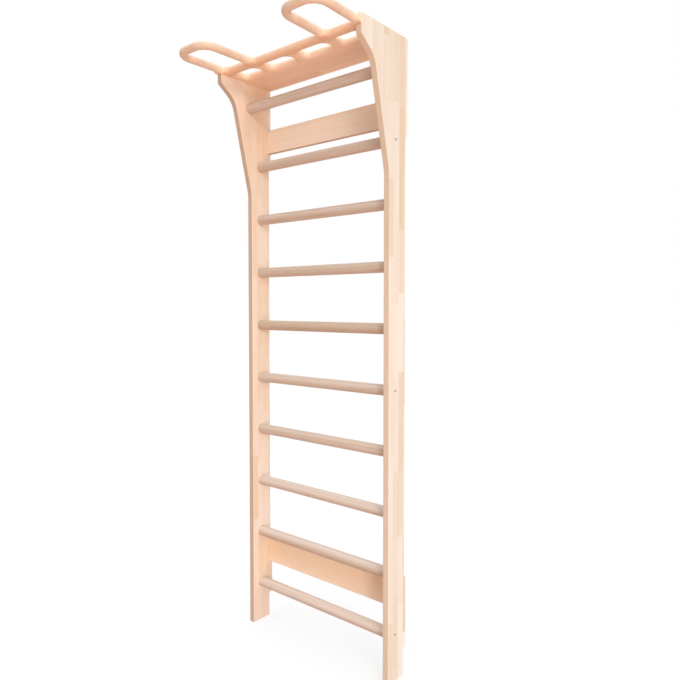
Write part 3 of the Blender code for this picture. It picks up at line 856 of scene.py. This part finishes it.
class WALLBARS_OT_mounting_boards(bpy.types.Operator):
    """Add the two boards that the wall bars are fixed to the wall by"""

    bl_idname = "wall_bars.add_mounting_boards"
    bl_label = "Mounting Boards"

    def execute(self, context):
        small = context.scene.wall_bars_small_parts
        material = planed_birch(context.scene.wall_bars_wood)
        for which in ("upper", "lower"):
            node = f"{which}_mounting_board"
            low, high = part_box(node)
            board = block(low, high)
            switch_to("EDIT")
            pick(board, "EDGE", lambda edge: abs(edge.verts[0].co.x - edge.verts[1].co.x) > INNER)
            bpy.ops.mesh.bevel(offset=small.board_edge, segments=CHAMFER_STEPS, affect="EDGES")
            switch_to("OBJECT")
            drill_for_dowels(board, f"{which}_board", small.dowel_diameter)
            finish_piece(board, f"{node}_planed", material, "birch_board", node)
        return {"FINISHED"}


class WALLBARS_OT_pull_up_board(bpy.types.Operator):
    """Add the pull-up board, with its rail, finger slots and loop handles"""

    bl_idname = "wall_bars.add_pull_up_board"
    bl_label = "Pull-up Board"

    def execute(self, context):
        sizes = context.scene.wall_bars_pull_up_board
        small = context.scene.wall_bars_small_parts
        rebate = context.scene.wall_bars_uprights.board_rebate
        material = routed_birch(context.scene.wall_bars_wood)
        thickness = BOARD_HIGH.z - BOARD_LOW.z
        loop_outer = INNER + sizes.loop_overhang
        loop_inner = loop_outer - sizes.loop_width
        splay = sizes.loop_splay
        loop_front = BOARD_LOW.y
        rail_front = WALL - sizes.front_depth
        past = 2 * sizes.grip_round
        blank_end = loop_outer + sizes.loop_fillet + past
        shoulder = WALL - sizes.shoulder_depth
        half = [
            (blank_end, WALL + past, 0.0),
            (blank_end, shoulder, 0.0),
            (loop_outer, shoulder, sizes.loop_fillet),
            (loop_outer + splay, loop_front, sizes.loop_corner),
            (loop_inner + splay, loop_front, sizes.loop_corner),
            (loop_inner, rail_front, sizes.loop_fillet),
        ]
        outlines = [half + [(-x, y, radius) for x, y, radius in reversed(half)]]
        slot_front = rail_front + sizes.rail_width
        slot_back = slot_front + sizes.slot_depth
        inner_start = sizes.centre_bridge / 2
        inner_end = inner_start + sizes.inner_slot
        outer_start, outer_end = inner_end + sizes.slot_bridge, INNER - sizes.end_margin
        eye_left, eye_right = loop_inner + sizes.bar_width, loop_outer - sizes.bar_width
        eye_front, eye_back = loop_front + sizes.bar_width, rail_front - sizes.eye_setback
        eye_corner = sizes.loop_corner - sizes.bar_width
        openings = [
            (eye_left, eye_right, eye_front, eye_back, eye_corner, sizes.eye_back_corner, splay),
            (inner_start, inner_end, slot_front, slot_back, sizes.slot_corner, sizes.slot_corner, 0.0),
            (outer_start, outer_end, slot_front, slot_back, sizes.slot_corner, sizes.slot_corner, 0.0),
        ]
        for left, right, front, back, front_corner, back_corner, out in openings:
            for side in SIDES.values():
                outlines.append(
                    [
                        (side * (left + out), front, front_corner),
                        (side * left, back, back_corner),
                        (side * right, back, back_corner),
                        (side * (right + out), front, front_corner),
                    ]
                )
        board = shape_plate("pull_up_board", outlines, thickness, sizes.grip_round, GRIP_STEPS)
        settle(board, (0, 0, (BOARD_LOW.z + BOARD_HIGH.z) / 2))
        far = blank_end + past
        low, high = BOARD_LOW.z - OVERSHOOT, BOARD_HIGH.z + OVERSHOOT
        ends = {
            OUTER - sizes.shoulder_inset: shoulder - sizes.loop_fillet,
            INNER + rebate: UPRIGHT_LOW.y - GAP,
        }
        for end, front in ends.items():
            saws = [block((end, front, low), (far, WALL + 2 * past, high))]
            saws.append(block((-far, front, low), (-end, WALL + 2 * past, high)))
            cut(board, saws)
        cut(board, [block((-far, WALL, low), (far, WALL + 2 * past, high))])
        drill_for_dowels(board, "pull_up_board", small.dowel_diameter)
        finish_piece(board, "pull_up_board_shaped", material, "birch_board", "pull_up_board")
        return {"FINISHED"}


class WALLBARS_OT_screws(bpy.types.Operator):
    """Add the six screws that hold the rungs"""

    bl_idname = "wall_bars.add_screws"
    bl_label = "Rung Screws"

    def execute(self, context):
        small = context.scene.wall_bars_small_parts
        material = zinc_plate(context.scene.wall_bars_wood)
        low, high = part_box("right_screw_rung_02")
        shank, head = small.screw_shank / 2, small.screw_head / 2
        seat = high.x - small.screw_head_height
        # A point two shank diameters long, and a head that is domed over its last third
        stations = [
            (low.x, shank * 0.1),
            (low.x + 4 * shank, shank),
            (seat, shank),
            (seat, head),
            (high.x - small.screw_head_height / 3, head),
            (high.x - small.screw_head_height / 9, head * 0.8),
            (high.x, head * 0.5),
        ]
        screw = turn_on_lathe(stations, SMALL_SIDES)
        # A cross recess for the driver
        deep, wide, arm = small.recess_depth, small.recess_width / 2, small.recess_length / 2
        for half_y, half_z in ((arm, wide), (wide, arm)):
            cut(screw, [block((high.x - deep, -half_y, -half_z), (high.x + deep, half_y, half_z))])
        for side_name, side in SIDES.items():
            for number in SCREWED_RUNGS:
                node = f"{side_name}_screw_rung_{number:02d}"
                # Screws stop at angles of their own: 17 degrees a rung
                turn = math.radians(number * 17)
                put_in(screw, f"{node}_turned", side, material, "zinc_screw", node, turn)
        bpy.data.objects.remove(screw)
        return {"FINISHED"}


class WALLBARS_OT_dowels(bpy.types.Operator):
    """Add the fluted dowels that hold the boards' ends"""

    bl_idname = "wall_bars.add_dowels"
    bl_label = "Dowels"

    def execute(self, context):
        small = context.scene.wall_bars_small_parts
        material = dowel_beech(context.scene.wall_bars_wood)
        radius, chamfer = small.dowel_diameter / 2, small.dowel_chamfer
        for board in ("upper_board", "lower_board", "pull_up_board"):
            nodes = dowel_nodes(board)
            low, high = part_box(nodes[0])
            start, end = low.x + MERGE, high.x - MERGE
            stations = [(start, radius - chamfer), (start + chamfer, radius)]
            stations += [(end - chamfer, radius), (end, radius - chamfer)]
            dowel = turn_on_lathe(stations, DOWEL_SIDES)
            switch_to("EDIT")
            pick(dowel, "VERT", lambda vert: is_flute(vert, chamfer, low, high))
            narrower = 1 - small.dowel_flute / radius
            bpy.ops.transform.resize(value=(1, narrower, narrower), center_override=(0, 0, 0))
            switch_to("OBJECT")
            for node in nodes:
                for side_name, side in SIDES.items():
                    twin = node.replace("_right_", f"_{side_name}_")
                    put_in(dowel, f"{twin}_fluted", side, material, "beech_dowel", twin)
            bpy.data.objects.remove(dowel)
        return {"FINISHED"}


class WALLBARS_OT_stage(bpy.types.Operator):
    """Add the floor, the three soft lamps, the light from all round and the camera"""

    bl_idname = "wall_bars.add_stage"
    bl_label = "Stage"

    def execute(self, context):
        scene = context.scene
        stage = scene.wall_bars_stage
        deselect()
        bpy.ops.mesh.primitive_plane_add(size=FLOOR_SIZE)
        floor = bpy.context.object
        floor.name = "studio_floor"
        made, tree, shader = new_material("studio_floor_paint")
        tree.nodes.remove(shader)
        camera_ray = add_node(tree, "LightPath", {}).outputs["Is Camera Ray"]
        # Seen directly the floor is white, and only its shadows darken it; the wood gets its warm bounce
        tint = add_node(tree, "Mix", {0: camera_ray, 6: stage.bounce, 7: FLOOR_SEEN}, data_type="RGBA")
        diffuse = add_node(tree, "BsdfDiffuse", {"Color": tint})
        level = add_node(tree, "Math", {0: camera_ray, 1: FLOOR_GLOW}, operation="MULTIPLY")
        glow = add_node(tree, "Emission", {"Strength": level})
        both = add_node(tree, "AddShader", {0: diffuse, 1: glow})
        join(tree, tree.nodes["Material Output"], {"Surface": both})
        floor.data.materials.append(made)

        world = bpy.data.worlds.new("studio_air")
        scene.world = world
        world.use_nodes = True
        tree = world.node_tree
        path = add_node(tree, "LightPath", {}).outputs
        seen = path["Is Camera Ray"]
        # Metal and gloss see the white backdrop too
        for other in ("Is Glossy Ray", "Is Transmission Ray"):
            seen = add_node(tree, "Math", {0: seen, 1: path[other]}, operation="MAXIMUM")
        air = [stage.air_strength * channel for channel in stage.air_tint]
        sky = add_node(tree, "Mix", {0: seen, 6: air, 7: WHITE}, data_type="RGBA")
        join(tree, tree.nodes["Background"], {"Color": sky})

        lamps = []
        for name, kind, place, target in (
            ("studio_key", "SUN", KEY_FROM, (0.0, 0.0, 0.0)),
            ("studio_top", "SUN", TOP_FROM, (0.0, 0.0, 0.0)),
            ("studio_side", "AREA", SIDE_FROM, AIMED_AT),
        ):
            deselect()
            bpy.ops.object.light_add(type=kind, location=place)
            lamp = bpy.context.object
            lamp.name = name
            lamp.rotation_euler = (Vector(place) - Vector(target)).to_track_quat("Z", "Y").to_euler()
            lamp.visible_camera = False
            lamps.append(lamp.data)
        key, top, side = lamps
        key.energy, key.angle = stage.key_strength, stage.key_angle
        top.energy, top.angle, top.color = stage.top_strength, stage.top_angle, stage.top_tint
        side.energy, side.size, side.color = stage.side_power, stage.side_size, stage.side_tint

        bpy.ops.object.camera_add(location=CAMERA_PLACE)
        camera = bpy.context.object
        camera.name = "photo_camera"
        camera.rotation_euler = (math.radians(90 - CAMERA_DOWN), 0, math.radians(CAMERA_ROUND))
        camera.data.sensor_width = SENSOR_WIDTH
        camera.data.lens = FOCAL_LENGTH / PICTURE_WIDTH * SENSOR_WIDTH
        camera.data.shift_y = (LEVEL_ROW - PICTURE_WIDTH / 2) / PICTURE_WIDTH
        scene.camera = camera
        scene.view_settings.view_transform = "Standard"
        return {"FINISHED"}


GROUPS = {
    "wall_bars_uprights": UprightSizes,
    "wall_bars_pull_up_board": PullUpBoardSizes,
    "wall_bars_small_parts": SmallPartSizes,
    "wall_bars_wood": WoodColours,
    "wall_bars_stage": StageSettings,
}
OPERATORS = (
    WALLBARS_OT_uprights,
    WALLBARS_OT_rungs,
    WALLBARS_OT_mounting_boards,
    WALLBARS_OT_pull_up_board,
    WALLBARS_OT_screws,
    WALLBARS_OT_dowels,
    WALLBARS_OT_stage,
)


class WALLBARS_PT_sidebar(bpy.types.Panel):
    """Lists the operators, and the sizes and colours that they use"""

    bl_idname = "WALLBARS_PT_sidebar"
    bl_label = "Wall Bars"
    bl_space_type = "VIEW_3D"
    bl_region_type = "UI"
    bl_category = "Wall Bars"

    def draw(self, context):
        for operator in OPERATORS:
            self.layout.operator(operator.bl_idname)
        for name in GROUPS:
            box = self.layout.box()
            group = getattr(context.scene, name)
            for size in group.__annotations__:
                box.prop(group, size)


def register():
    for kind in (*GROUPS.values(), *OPERATORS, WALLBARS_PT_sidebar):
        bpy.utils.register_class(kind)
    for name, kind in GROUPS.items():
        setattr(bpy.types.Scene, name, PointerProperty(type=kind))


def unregister():
    for name in GROUPS:
        delattr(bpy.types.Scene, name)
    for kind in (WALLBARS_PT_sidebar, *reversed(OPERATORS), *reversed(GROUPS.values())):
        bpy.utils.unregister_class(kind)


def main():
    register()
    for operator in OPERATORS:
        group, name = operator.bl_idname.split(".")
        getattr(getattr(bpy.ops, group), name)()


if __name__ == "__main__":
    main()
